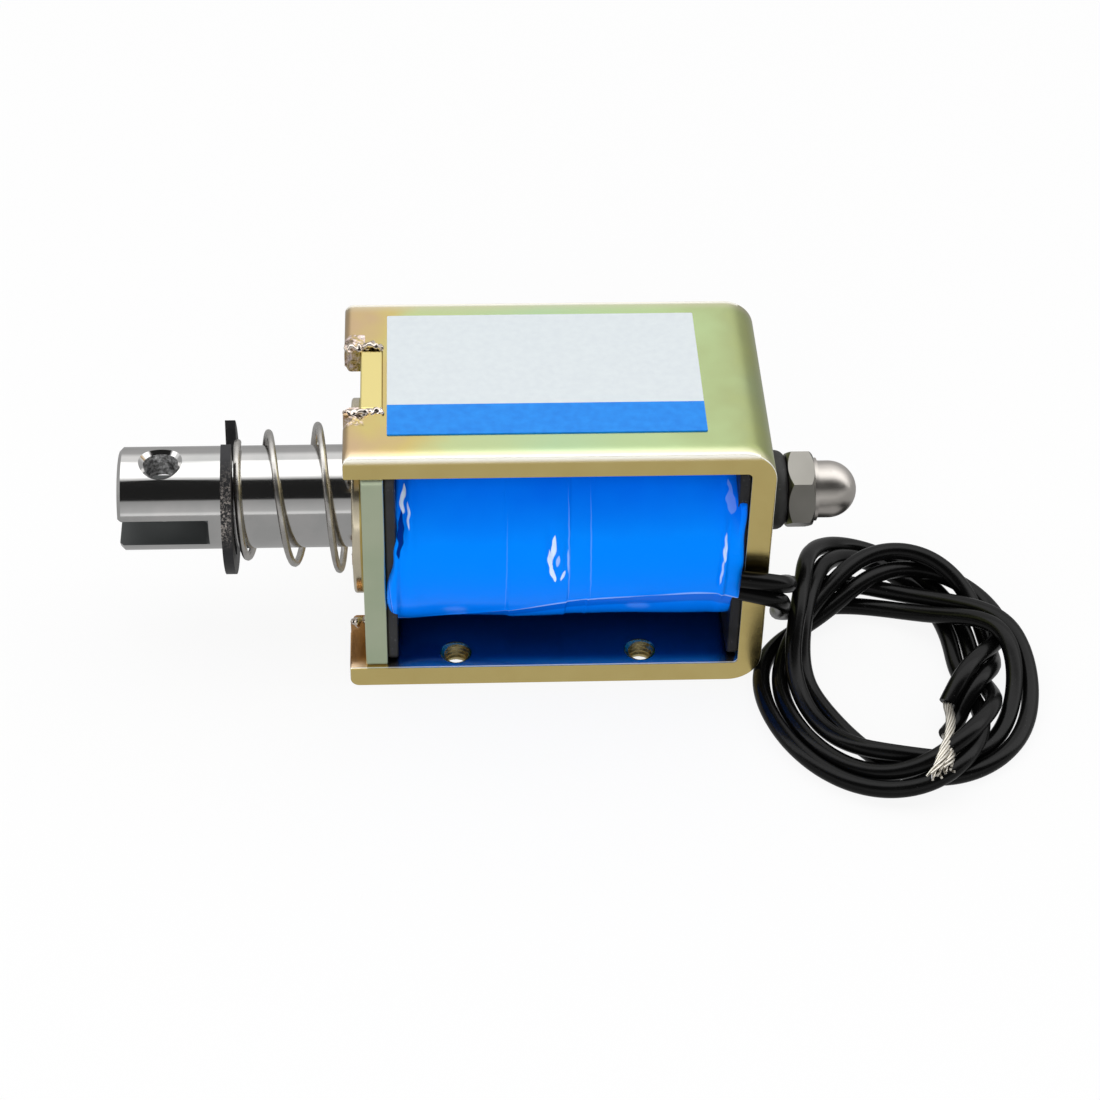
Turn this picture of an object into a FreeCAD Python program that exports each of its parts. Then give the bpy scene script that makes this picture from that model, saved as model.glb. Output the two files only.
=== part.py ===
# Push pull solenoid with an open frame. Millimetres, +X along the plunger towards the push tip,
# +Y to the back, +Z up. The origin is the centre of the tapped holes, on the frame's bottom face.
import FreeCAD, Part
import math
import os

V = FreeCAD.Vector

# Frame, bent from one strip of steel plate
BODY_LENGTH = 40.0
BODY_HEIGHT = 28.4
BODY_WIDTH = 24.0
PLATE = 2.3
BEND_OUTER = 3.2
BEND_INNER = 0.5
ARM_END_ROUND = 0.9
EDGE_ROLL = 0.2

# Tapped mounting holes in the bottom arm
HOLE_SPACING_X = 18.0
HOLE_FROM_SIDE = 2.15
HOLE_FROM_ARM_END = 10.3
TAP_RADIUS = 1.25
TAP_CHAMFER = 0.3

# Notches, end plate and the staked ears that hold it
NOTCH_WIDTH = 10.0
END_PLATE = 2.1
END_PLATE_RECESS = 1.6
TAB_WIDTH = 9.4
END_PLATE_ROUND = 1.0
END_PLATE_EDGE = 0.2
TAB_ROUND = 0.5
STAKE_LUMP = 0.8
STAKE_REACH = 0.75
STAKE_GROOVE_DEPTH = 1.2
STAKE_GROOVE_HALF = 0.65
STAKE_GROOVE_OFFSET = 1.0

# Coil
TUBE_BORE_CLEARANCE = 0.05
SLEEVE_WALL = 0.4
BOBBIN_WALL = 0.9
FLANGE = 1.05
FLANGE_SIDE_GAP = 0.4
FLANGE_ARM_GAP = 0.2
FLANGE_CORNER = 1.5
FLANGE_EDGE = 0.3
WINDING_GAP = 1.1
TAPE_GAP = 0.35
TAPE_SIDE_BULGE = 0.5
TAPE_END_ROUND = 0.6
LEAD_MOUTH_GAP = 0.6

# Spring seat
SEAT_GAP = 2.4
SEAT = 1.05
SEAT_HOLE_CLEARANCE = 0.5
SEAT_ROUND = 0.3

# Fixed pole, riveted through the web
POLE_LENGTH = 12.0
POLE_CLEARANCE = 0.05
SPIGOT_RADIUS = 3.5
NOSE_SHOULDER = 0.85
NOSE_LENGTH = 3.0
NOSE_HALF_ANGLE = 30.0
NOSE_GAP = 0.1

# Plunger
STROKE = 10.0
PLUNGER_RADIUS = 5.0
PLUNGER_OUT = 21.9
PLUNGER_CHAMFER = 0.35
PLUNGER_TURN = 5.5
SLOT_WIDTH = 3.2
SLOT_DEPTH = 8.6
SLOT_CORNER = 0.4
PIN_HOLE_RADIUS = 1.65
PIN_HOLE_FROM_END = 4.1
PIN_COUNTERSINK = 0.45
ROD_POCKET = 8.0

# Push rod with its threaded end
ROD_RADIUS = 2.0
ROD_CLEARANCE = 0.06
ROD_CHAMFER = 0.4
ROD_GRIP = 5.0

# Retaining clip in its groove
CLIP = 1.0
CLIP_RADIUS = 7.5
CLIP_INNER_GAP = 0.05
CLIP_SIDE_GAP = 0.05
CLIP_RELIEF_RADIUS = 5.6
CLIP_MOUTH_HALF = 3.3
CLIP_PRONG_END = 76.0
CLIP_BACK_PRONG = 18.0
CLIP_MOUTH_ANGLE = 72.0
GROOVE_RADIUS = 4.0
GROOVE_FROM_END = 10.0

# Conical return spring
SPRING_WIRE = 0.35
SPRING_SMALL = 5.45
SPRING_LARGE = 7.35
SPRING_TURNS = 3.2
SPRING_CLOSED_SMALL = 0.75
SPRING_CLOSED_LARGE = 1.2
SPRING_START_ANGLE = 60.0
SPRING_POINTS_PER_TURN = 8
SPRING_SEAT_GAP = 0.03

# Rubber washer and domed cap nut
RUBBER = 2.7
RUBBER_RADIUS = 3.9
RUBBER_ROUND = 1.1
RUBBER_GAP = 0.05
NUT_SIDES = 6
NUT_FLATS = 7.0
NUT_HEX = 2.6
NUT_HEX_CHAMFER = 0.45
NUT_STEP = 0.4
NUT_STEP_RADIUS = 3.1
NUT_DOME_RADIUS = 2.8
NUT_DOME = 4.0
NUT_TURN = 14.0
NUT_THREAD_GAP = 0.02

# Label on the top arm
LABEL_LENGTH = 29.6
LABEL_WIDTH = 18.3
LABEL = 0.12
LABEL_FROM_ARM_END = 4.1
LABEL_OFF_CENTRE = 0.7
LABEL_CORNER = 0.15

# Leads. The points run from the coil's wrapping to the loose coil on the ground.
LEAD_RADIUS = 0.85
LEAD_EXIT_LENGTH = 6.5
LEAD_ROOT_DEPTH = 0.8
LEAD_HUMP_WALL = 0.3
LEAD_1_ROUTE = [(17.9, -13.2, 14.3), (20.4, -13.6, 14.2), (22.4, -13.0, 13.3), (22.9, -10.8, 11.5),
                (23.0, -8.3, 9.3), (23.2, -5.8, 7.1), (24.4, -3.7, 5.0), (26.6, -2.2, 3.6), (29.4, -1.2, 2.9)]
LEAD_2_ROUTE = [(17.9, -12.95, 12.5), (19.9, -13.4, 12.35), (21.8, -13.2, 11.5), (22.4, -11.6, 9.5),
                (22.4, -9.6, 7.1), (22.6, -7.4, 4.8), (23.7, -5.4, 2.9), (25.7, -3.9, 1.7), (28.5, -2.7, 1.15)]
LEAD_BEND_SHARE = 0.45

# Outer shape of the loosely coiled leads
COIL_CENTRE_X = 34.4
COIL_CENTRE_Y = -11.7
COIL_HALF_X = 12.9
COIL_HALF_Y = 18.7
COIL_WALL_LEFT = 4.9
COIL_WALL_RIGHT = 7.7
COIL_WALL_Y = 9.7
COIL_HEIGHT = 5.1
COIL_ROUND = 2.0

# Places worked out from the sizes above
ARM_END = -(HOLE_FROM_ARM_END + HOLE_SPACING_X / 2)
WEB_OUT = ARM_END + BODY_LENGTH
WEB_IN = WEB_OUT - PLATE
AXIS_Z = BODY_HEIGHT / 2
HOLE_SPACING_Y = BODY_WIDTH - 2 * HOLE_FROM_SIDE
WINDOW_HALF_HEIGHT = BODY_HEIGHT / 2 - PLATE
FLANGE_HALF_HEIGHT = WINDOW_HALF_HEIGHT - FLANGE_ARM_GAP
FLANGE_HALF_WIDTH = BODY_WIDTH / 2 - FLANGE_SIDE_GAP
COIL_ROOM = min(WINDOW_HALF_HEIGHT, BODY_WIDTH / 2)
WINDING_RADIUS = COIL_ROOM - WINDING_GAP
TAPE_HALF_HEIGHT = COIL_ROOM - TAPE_GAP
TAPE_HALF_WIDTH = TAPE_HALF_HEIGHT + TAPE_SIDE_BULGE
SEAT_RADIUS = WINDOW_HALF_HEIGHT - SEAT_GAP
END_PLATE_OUT = ARM_END + END_PLATE_RECESS
END_PLATE_IN = END_PLATE_OUT + END_PLATE
SEAT_OUT = END_PLATE_OUT - SEAT
SLEEVE_IN_RADIUS = PLUNGER_RADIUS + TUBE_BORE_CLEARANCE
SLEEVE_OUT_RADIUS = SLEEVE_IN_RADIUS + SLEEVE_WALL
POLE_FACE = WEB_IN - POLE_LENGTH
NOSE_OUTER = PLUNGER_RADIUS - NOSE_SHOULDER
NOSE_TIP = NOSE_OUTER - NOSE_LENGTH * math.tan(math.radians(NOSE_HALF_ANGLE))
PLUNGER_END = ARM_END - PLUNGER_OUT
PLUNGER_SHOULDER = POLE_FACE - STROKE - NOSE_GAP
GROOVE_START = PLUNGER_END + GROOVE_FROM_END
CLIP_OUT = GROOVE_START + CLIP_SIDE_GAP
CLIP_IN = CLIP_OUT + CLIP
RUBBER_IN = WEB_OUT + RUBBER_GAP
NUT_IN = RUBBER_IN + RUBBER
TAPE_START = END_PLATE_IN + FLANGE
TAPE_END = WEB_IN - FLANGE
LEAD_MOUTH = WEB_IN - LEAD_MOUTH_GAP
COIL_HOLE_HALF_X = COIL_HALF_X - (COIL_WALL_LEFT + COIL_WALL_RIGHT) / 2
COIL_HOLE_HALF_Y = COIL_HALF_Y - COIL_WALL_Y
COIL_HOLE_X = COIL_CENTRE_X + (COIL_WALL_LEFT - COIL_WALL_RIGHT) / 2


def rounded_path(points, rounds, closed):
    """Straight edges joined by tangent arcs, one arc for each point that has a round."""
    count = len(points)
    corners = [V(*point) for point in points]
    starts = list(corners)
    ends = list(corners)
    arcs = [None] * count
    for i in range(count):
        if rounds[i] <= 0 or (not closed and i in (0, count - 1)):
            continue
        corner = corners[i]
        back = (corners[i - 1] - corner).normalize()
        ahead = (corners[(i + 1) % count] - corner).normalize()
        half = back.getAngle(ahead) / 2
        middle = (back + ahead).normalize()
        starts[i] = corner + back * (rounds[i] / math.tan(half))
        ends[i] = corner + ahead * (rounds[i] / math.tan(half))
        on_arc = corner + middle * (rounds[i] / math.sin(half) - rounds[i])
        arcs[i] = Part.Arc(starts[i], on_arc, ends[i]).toShape()
    edges = []
    for i in range(count):
        if arcs[i]:
            edges.append(arcs[i])
        if closed or i < count - 1:
            start = ends[i]
            end = starts[(i + 1) % count]
            edges.append(Part.LineSegment(start, end).toShape())
    return Part.Wire(edges)


def extruded(points, rounds, direction):
    """Solid from a closed outline with rounded corners."""
    return Part.Face(rounded_path(points, rounds, True)).extrude(direction)


def revolved(profile, rounds=None):
    """Solid of revolution about the plunger axis from (x, radius) points."""
    rounds = rounds or [0] * len(profile)
    points = [(x, 0, AXIS_Z + radius) for x, radius in profile]
    outline = rounded_path(points, rounds, True)
    return Part.Face(outline).revolve(V(0, 0, AXIS_Z), V(1, 0, 0), 360)


def rod(radius, start, end):
    """Cylinder along the plunger axis."""
    return Part.makeCylinder(radius, end - start, V(start, 0, AXIS_Z), V(1, 0, 0))


def tube(inner, outer, start, end):
    """Hollow cylinder along the plunger axis."""
    return rod(outer, start, end).cut(rod(inner, start, end))


def turned(shape, angle):
    """Shape turned about the plunger axis."""
    copy = shape.copy()
    copy.rotate(V(0, 0, AXIS_Z), V(1, 0, 0), angle)
    return copy


def oval_face(half_long, half_short):
    """Oval of four tangent arcs in the XY plane, its long way along X."""
    end_radius = half_short ** 2 / half_long
    reach = half_long - end_radius
    side_radius = (reach ** 2 + half_short ** 2 - end_radius ** 2) / (2 * (half_short - end_radius))
    share = end_radius / (side_radius - end_radius)
    x = reach * (1 + share)
    y = (side_radius - half_short) * share
    joins = [V(x, -y, 0), V(x, y, 0), V(-x, y, 0), V(-x, -y, 0)]
    tops = [V(half_long, 0, 0), V(0, half_short, 0), V(-half_long, 0, 0), V(0, -half_short, 0)]
    arcs = [Part.Arc(start, top, end).toShape()
            for start, top, end in zip(joins, tops, joins[1:] + joins[:1])]
    return Part.Face(Part.Wire(arcs))


def yoke_outline():
    """U section in the XZ plane, open towards the plunger."""
    low_y = -BODY_WIDTH / 2
    points = [(ARM_END, low_y, 0), (WEB_OUT, low_y, 0), (WEB_OUT, low_y, BODY_HEIGHT),
              (ARM_END, low_y, BODY_HEIGHT), (ARM_END, low_y, BODY_HEIGHT - PLATE),
              (WEB_IN, low_y, BODY_HEIGHT - PLATE), (WEB_IN, low_y, PLATE), (ARM_END, low_y, PLATE)]
    rounds = [ARM_END_ROUND, BEND_OUTER, BEND_OUTER, ARM_END_ROUND, 0, BEND_INNER, BEND_INNER, 0]
    return points, rounds


def on_side_faces(edge):
    """True for an edge that lies in the frame's front or back face."""
    half = BODY_WIDTH / 2
    return all(abs(abs(vertex.Point.y) - half) < 0.001 for vertex in edge.Vertexes)


def round_the_window(edge):
    """True for an edge along the inside of the arms and the web."""
    box = edge.BoundBox
    in_height = box.ZMin > PLATE - 0.001 and box.ZMax < BODY_HEIGHT - PLATE + 0.001
    return in_height and box.XMax > ARM_END + 0.001 and box.XMax < WEB_IN + 0.001


def stake_groove(side, low_z):
    """Chisel groove across an ear's end, beside the notch."""
    centre = side * (NOTCH_WIDTH / 2 + STAKE_GROOVE_OFFSET)
    outside = ARM_END - STAKE_GROOVE_HALF
    flare = STAKE_GROOVE_HALF * (1 + STAKE_GROOVE_HALF / STAKE_GROOVE_DEPTH)
    points = [(outside, centre - flare, low_z), (ARM_END + STAKE_GROOVE_DEPTH, centre, low_z),
              (outside, centre + flare, low_z)]
    return extruded(points, [0, 0.25, 0], V(0, 0, PLATE))


def stake_lump(side, low_z):
    """Metal that the chisel pushes over the end plate's tab."""
    edge = side * NOTCH_WIDTH / 2
    tip = edge - side * STAKE_REACH
    root = edge + side * STAKE_LUMP / 2
    front = END_PLATE_OUT - 2 * STAKE_LUMP
    points = [(front, root, low_z), (front + STAKE_LUMP / 2, tip, low_z), (END_PLATE_OUT, tip, low_z),
              (END_PLATE_OUT, root, low_z)]
    return extruded(points, [0, STAKE_LUMP / 2, 0.15, 0], V(0, 0, PLATE))


def tapped_hole(x, y):
    """Tapping drill through the bottom arm, with a chamfer at both ends."""
    hole = Part.makeCylinder(TAP_RADIUS, PLATE, V(x, y, 0))
    wide = TAP_RADIUS + TAP_CHAMFER
    low = Part.makeCone(wide, TAP_RADIUS, TAP_CHAMFER, V(x, y, 0))
    high = Part.makeCone(TAP_RADIUS, wide, TAP_CHAMFER, V(x, y, PLATE - TAP_CHAMFER))
    return hole.fuse([low, high])


def make_yoke():
    """Frame with rolled edges, notches, staked ears, tapped holes and the rivet hole."""
    points, rounds = yoke_outline()
    yoke = extruded(points, rounds, V(0, BODY_WIDTH, 0))
    rims = [edge for edge in yoke.Edges if on_side_faces(edge)]
    yoke = yoke.makeFillet(EDGE_ROLL, [edge for edge in rims if not round_the_window(edge)])
    notch = Part.makeBox(END_PLATE_IN - ARM_END, NOTCH_WIDTH, BODY_HEIGHT,
                         V(ARM_END, -NOTCH_WIDTH / 2, 0))
    yoke = yoke.cut(notch)
    arms = (0, BODY_HEIGHT - PLATE)
    lumps = [stake_lump(side, low_z) for side in (-1, 1) for low_z in arms]
    grooves = [stake_groove(side, low_z) for side in (-1, 1) for low_z in arms]
    holes = [tapped_hole(x * HOLE_SPACING_X / 2, y * HOLE_SPACING_Y / 2)
             for x in (-1, 1) for y in (-1, 1)]
    yoke = yoke.fuse(lumps).cut(grooves + holes + [rod(SPIGOT_RADIUS, WEB_IN, WEB_OUT)])
    return yoke.removeSplitter()


def make_end_plate():
    """Plate across the frame's mouth, with a tab in each notch."""
    half = BODY_WIDTH / 2
    tab = TAB_WIDTH / 2
    right = [(half, PLATE), (half, BODY_HEIGHT - PLATE), (tab, BODY_HEIGHT - PLATE), (tab, BODY_HEIGHT)]
    left = [(-y, z) for y, z in reversed(right)]
    lower_left = [(-tab, 0)]
    lower_right = [(tab, 0)]
    outline = right + left + [(-tab, PLATE)] + lower_left + lower_right + [(tab, PLATE)]
    rounds = [END_PLATE_ROUND, END_PLATE_ROUND, 0, TAB_ROUND, TAB_ROUND, 0, END_PLATE_ROUND,
              END_PLATE_ROUND, 0, TAB_ROUND, TAB_ROUND, 0]
    points = [(END_PLATE_OUT, y, z) for y, z in outline]
    plate = extruded(points, rounds, V(END_PLATE, 0, 0))
    rims = [edge for edge in plate.Edges if abs(edge.BoundBox.XLength) < 0.001]
    plate = plate.makeFillet(END_PLATE_EDGE, rims)
    return plate.cut(rod(SLEEVE_OUT_RADIUS, END_PLATE_OUT, END_PLATE_IN))


def make_spring_seat():
    """Washer that carries the spring's large end."""
    hole = SLEEVE_OUT_RADIUS + SEAT_HOLE_CLEARANCE
    profile = [(SEAT_OUT, hole), (SEAT_OUT, SEAT_RADIUS), (END_PLATE_OUT, SEAT_RADIUS),
               (END_PLATE_OUT, hole)]
    return revolved(profile, [0, SEAT_ROUND, SEAT_ROUND, 0])


def bobbin_flange(start):
    """Square end plate of the spool, which keeps it from turning in the frame."""
    corners = [(FLANGE_HALF_WIDTH, FLANGE_HALF_HEIGHT), (-FLANGE_HALF_WIDTH, FLANGE_HALF_HEIGHT),
               (-FLANGE_HALF_WIDTH, -FLANGE_HALF_HEIGHT), (FLANGE_HALF_WIDTH, -FLANGE_HALF_HEIGHT)]
    points = [(start, y, AXIS_Z + z) for y, z in corners]
    flange = extruded(points, [FLANGE_CORNER] * 4, V(FLANGE, 0, 0))
    rims = [edge for edge in flange.Edges if edge.BoundBox.XLength < 0.001]
    return flange.makeFillet(FLANGE_EDGE, rims)


def make_bobbin():
    """Moulded spool between the end plate and the web."""
    core = rod(SLEEVE_OUT_RADIUS + BOBBIN_WALL, END_PLATE_IN, WEB_IN)
    flanges = [bobbin_flange(END_PLATE_IN), bobbin_flange(WEB_IN - FLANGE)]
    return core.fuse(flanges).cut(rod(SLEEVE_OUT_RADIUS, END_PLATE_IN, WEB_IN)).removeSplitter()


def winding_space(outer):
    """Ring between the bobbin's flanges, out to a radius."""
    return tube(SLEEVE_OUT_RADIUS + BOBBIN_WALL, outer, END_PLATE_IN + FLANGE, WEB_IN - FLANGE)


def lead_hump(route):
    """Ridge in the wrapping over a lead that comes out from under it."""
    mouth = V(LEAD_MOUTH, route[0][1], route[0][2])
    root = V(LEAD_MOUTH - LEAD_EXIT_LENGTH, LEAD_ROOT_DEPTH - TAPE_HALF_WIDTH, mouth.z)
    run = mouth - root
    ridge = Part.makeCylinder(LEAD_RADIUS + LEAD_HUMP_WALL, run.Length, root, run)
    over = Part.makeBox(2 * BODY_LENGTH, 2 * BODY_WIDTH, BODY_HEIGHT, V(LEAD_MOUTH, -BODY_WIDTH, 0))
    return ridge.cut(over)


def make_tape():
    """Wrapping pulled tight over the winding, with a ridge over each lead."""
    body = oval_face(TAPE_HALF_WIDTH, TAPE_HALF_HEIGHT).extrude(V(0, 0, TAPE_END - TAPE_START))
    body.rotate(V(0, 0, 0), V(0, 0, 1), 90)
    body.rotate(V(0, 0, 0), V(0, 1, 0), 90)
    body.translate(V(TAPE_START, 0, AXIS_Z))
    body = body.makeFillet(TAPE_END_ROUND, [edge for edge in body.Edges if edge.BoundBox.XLength < 0.01])
    body = body.fuse([lead_hump(LEAD_1_ROUTE), lead_hump(LEAD_2_ROUTE)])
    return body.cut(rod(WINDING_RADIUS, TAPE_START, TAPE_END))


def make_pole():
    """Fixed pole with a conical seat, bored for the push rod and riveted through the web."""
    bore = ROD_RADIUS + ROD_CLEARANCE
    outer = SLEEVE_IN_RADIUS - POLE_CLEARANCE
    profile = [(POLE_FACE + NOSE_LENGTH, bore), (POLE_FACE + NOSE_LENGTH, NOSE_TIP),
               (POLE_FACE, NOSE_OUTER), (POLE_FACE, outer), (WEB_IN, outer), (WEB_IN, SPIGOT_RADIUS),
               (WEB_OUT, SPIGOT_RADIUS), (WEB_OUT, bore)]
    return revolved(profile)


def with_pin_hole(body):
    """Plunger with its cross hole for the clevis pin, its rims broken all round."""
    x = PLUNGER_END + PIN_HOLE_FROM_END
    hole = Part.makeCylinder(PIN_HOLE_RADIUS, 2 * PLUNGER_RADIUS, V(x, 0, AXIS_Z - PLUNGER_RADIUS))
    body = body.cut(hole)
    middle = V(x, 0, AXIS_Z)
    reach = PIN_HOLE_RADIUS + 0.01
    rims = [edge for edge in body.Edges
            if abs(edge.CenterOfMass.x - x) < 0.01 and edge.BoundBox.XLength > PIN_HOLE_RADIUS
            and all(math.hypot(vertex.X - x, vertex.Y) < reach for vertex in edge.Vertexes)
            and edge.CenterOfMass.sub(middle).Length > PLUNGER_RADIUS - PIN_HOLE_RADIUS]
    return body.makeChamfer(PIN_COUNTERSINK, rims)


def clevis_slot():
    """Slot across the plunger's outer end, for the link."""
    half = SLOT_WIDTH / 2
    low_y = -PLUNGER_RADIUS
    floor = PLUNGER_END + SLOT_DEPTH
    points = [(PLUNGER_END, low_y, AXIS_Z - half), (floor, low_y, AXIS_Z - half),
              (floor, low_y, AXIS_Z + half), (PLUNGER_END, low_y, AXIS_Z + half)]
    return extruded(points, [0, SLOT_CORNER, SLOT_CORNER, 0], V(0, 2 * PLUNGER_RADIUS, 0))


def make_plunger():
    """Turned plunger with clevis end, clip groove and conical nose."""
    groove_end = GROOVE_START + CLIP + 2 * CLIP_SIDE_GAP
    chamfer = PLUNGER_CHAMFER
    profile = [(PLUNGER_END, 0), (PLUNGER_END, PLUNGER_RADIUS - chamfer),
               (PLUNGER_END + chamfer, PLUNGER_RADIUS), (GROOVE_START, PLUNGER_RADIUS),
               (GROOVE_START, GROOVE_RADIUS), (groove_end, GROOVE_RADIUS), (groove_end, PLUNGER_RADIUS),
               (PLUNGER_SHOULDER, PLUNGER_RADIUS), (PLUNGER_SHOULDER, NOSE_OUTER),
               (PLUNGER_SHOULDER + NOSE_LENGTH, NOSE_TIP), (PLUNGER_SHOULDER + NOSE_LENGTH, 0)]
    nose = PLUNGER_SHOULDER + NOSE_LENGTH
    body = with_pin_hole(revolved(profile)).cut([rod(ROD_RADIUS, nose - ROD_POCKET, nose), clevis_slot()])
    return turned(body, PLUNGER_TURN)


def make_push_rod():
    """Non-magnetic rod from the plunger's nose through the pole to the cap nut."""
    start = PLUNGER_SHOULDER + NOSE_LENGTH - ROD_POCKET
    end = NUT_IN + ROD_GRIP
    body = rod(ROD_RADIUS, start, end)
    rims = [edge for edge in body.Edges if edge.BoundBox.XLength < 0.001]
    return body.makeChamfer(ROD_CHAMFER, rims)


def make_clip():
    """Retaining clip with three prongs on the groove and an open mouth."""
    inner = GROOVE_RADIUS + CLIP_INNER_GAP
    ring = tube(inner, CLIP_RADIUS, CLIP_OUT, CLIP_IN)
    back = 180 - CLIP_BACK_PRONG
    first = Part.makeCylinder(CLIP_RELIEF_RADIUS, CLIP, V(0, 0, 0), V(0, 0, 1), back - CLIP_PRONG_END)
    reliefs = []
    for start in (CLIP_PRONG_END, 360 - back):
        relief = first.copy()
        relief.rotate(V(0, 0, 0), V(0, 0, 1), start)
        reliefs.append(relief)
    mouth = Part.makeBox(CLIP_RADIUS + 1, 2 * CLIP_MOUTH_HALF, CLIP, V(0, -CLIP_MOUTH_HALF, 0))
    cutters = []
    for cutter in reliefs + [mouth]:
        cutter.rotate(V(0, 0, 0), V(1, 1, 1), 120)
        cutter.translate(V(CLIP_OUT, 0, AXIS_Z))
        cutters.append(turned(cutter, CLIP_MOUTH_ANGLE))
    return ring.cut(cutters)


def spring_advance(share):
    """Advance of the wire along the axis, slowing down into the closed end turns."""
    first = SPRING_CLOSED_SMALL / SPRING_TURNS
    last = SPRING_CLOSED_LARGE / SPRING_TURNS
    pace = 1 / (1 - (first + last) / 2)
    if share < first:
        return pace * share ** 2 / (2 * first)
    if share > 1 - last:
        return 1 - pace * (1 - share) ** 2 / (2 * last)
    return pace * (share - first / 2)


def spring_points():
    """Centre line of the wire, from the clip to the spring seat."""
    first = CLIP_IN + SPRING_SEAT_GAP + SPRING_WIRE
    last = SEAT_OUT - SPRING_SEAT_GAP - SPRING_WIRE
    count = round(SPRING_TURNS * SPRING_POINTS_PER_TURN)
    points = []
    for i in range(count + 1):
        share = i / count
        angle = math.radians(SPRING_START_ANGLE + 360 * SPRING_TURNS * share)
        radius = SPRING_SMALL + (SPRING_LARGE - SPRING_SMALL) * share
        x = first + (last - first) * spring_advance(share)
        points.append(V(x, radius * math.cos(angle), AXIS_Z + radius * math.sin(angle)))
    return points


def make_spring():
    """Conical return spring between the clip and its seat."""
    line = Part.BSplineCurve()
    line.interpolate(spring_points())
    path = Part.Wire(line.toShape())
    tangent = line.tangent(line.FirstParameter)[0]
    section = Part.Wire(Part.makeCircle(SPRING_WIRE, line.value(line.FirstParameter), tangent))
    return path.makePipeShell([section], True, True)


def make_rubber_washer():
    """Rubber buffer between the web and the cap nut."""
    profile = [(RUBBER_IN, ROD_RADIUS), (RUBBER_IN, RUBBER_RADIUS), (NUT_IN, RUBBER_RADIUS),
               (NUT_IN, ROD_RADIUS)]
    return revolved(profile, [0, RUBBER_ROUND, RUBBER_ROUND, 0])


def make_cap_nut():
    """Domed nut: a chamfered hexagon, a step and a ball end, threaded onto the rod."""
    corner = NUT_FLATS / 2 / math.cos(math.pi / NUT_SIDES)
    hex_end = NUT_IN + NUT_HEX
    angles = [2 * math.pi * i / NUT_SIDES for i in range(NUT_SIDES)]
    points = [(NUT_IN, corner * math.cos(angle), AXIS_Z + corner * math.sin(angle)) for angle in angles]
    prism = extruded(points, [0] * NUT_SIDES, V(NUT_HEX, 0, 0))
    drop = NUT_HEX_CHAMFER
    cone = revolved([(NUT_IN, 0), (NUT_IN, NUT_FLATS / 2), (NUT_IN + drop, corner + 0.01),
                     (hex_end - drop, corner + 0.01), (hex_end, NUT_FLATS / 2), (hex_end, 0)])
    step_end = hex_end + NUT_STEP
    dome_end = step_end + NUT_DOME
    collar = rod(NUT_STEP_RADIUS, hex_end, step_end)
    ball = Part.makeSphere(NUT_DOME_RADIUS, V(dome_end - NUT_DOME_RADIUS, 0, AXIS_Z))
    shank = rod(NUT_DOME_RADIUS, hex_end, dome_end - NUT_DOME_RADIUS)
    body = prism.common(cone).fuse([collar, shank, ball])
    bore = rod(ROD_RADIUS + NUT_THREAD_GAP, NUT_IN, NUT_IN + ROD_GRIP + NUT_THREAD_GAP)
    return turned(body.cut(bore).removeSplitter(), NUT_TURN)


def make_label():
    """Thin bare label on the top arm."""
    left = ARM_END + LABEL_FROM_ARM_END
    right = left + LABEL_LENGTH
    front = LABEL_OFF_CENTRE - LABEL_WIDTH / 2
    back = LABEL_OFF_CENTRE + LABEL_WIDTH / 2
    points = [(left, front, BODY_HEIGHT), (right, front, BODY_HEIGHT), (right, back, BODY_HEIGHT),
              (left, back, BODY_HEIGHT)]
    return extruded(points, [LABEL_CORNER] * 4, V(0, 0, LABEL))


def lead_rounds(route):
    """Radius at each point of a route: as large as its shorter run allows."""
    points = [V(*point) for point in route]
    rounds = [0]
    for before, corner, after in zip(points, points[1:], points[2:]):
        back = before - corner
        ahead = after - corner
        half = back.getAngle(ahead) / 2
        rounds.append(LEAD_BEND_SHARE * min(back.Length, ahead.Length) * math.tan(half))
    return rounds + [0]


def make_lead(name, route, coil):
    """Insulated lead from the wrapping down to the loose coil."""
    rounds = lead_rounds(route)
    path = rounded_path(route, rounds, False)
    direction = V(*route[1]) - V(*route[0])
    section = Part.Wire(Part.makeCircle(LEAD_RADIUS, V(*route[0]), direction))
    lead = path.makePipeShell([section], True, False)
    expected = math.pi * LEAD_RADIUS ** 2 * path.Length
    bends = ", ".join(f"{radius:.1f}" for radius in rounds[1:-1])
    print(f"{name}: bend radii {bends}; volume {lead.Volume:.1f} of {expected:.1f}")
    over = Part.makeBox(2 * BODY_LENGTH, 2 * BODY_WIDTH, BODY_HEIGHT,
                        V(LEAD_MOUTH - 2 * BODY_LENGTH, -BODY_WIDTH, 0))
    return lead.cut([over, coil])


def oval_prism(half_x, half_y, centre_x, centre_y):
    """Upright oval prism on the ground."""
    face = oval_face(half_y, half_x)
    face.rotate(V(0, 0, 0), V(0, 0, 1), 90)
    face.translate(V(centre_x, centre_y, 0))
    return face.extrude(V(0, 0, COIL_HEIGHT))


def make_lead_coil():
    """Outer shape of both leads in their loose oval turns."""
    ring = oval_prism(COIL_HALF_X, COIL_HALF_Y, COIL_CENTRE_X, COIL_CENTRE_Y)
    hole = oval_prism(COIL_HOLE_HALF_X, COIL_HOLE_HALF_Y, COIL_HOLE_X, COIL_CENTRE_Y)
    ring = ring.cut(hole)
    rims = [edge for edge in ring.Edges if edge.BoundBox.ZLength < 0.001]
    return ring.makeFillet(COIL_ROUND, rims)


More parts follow.
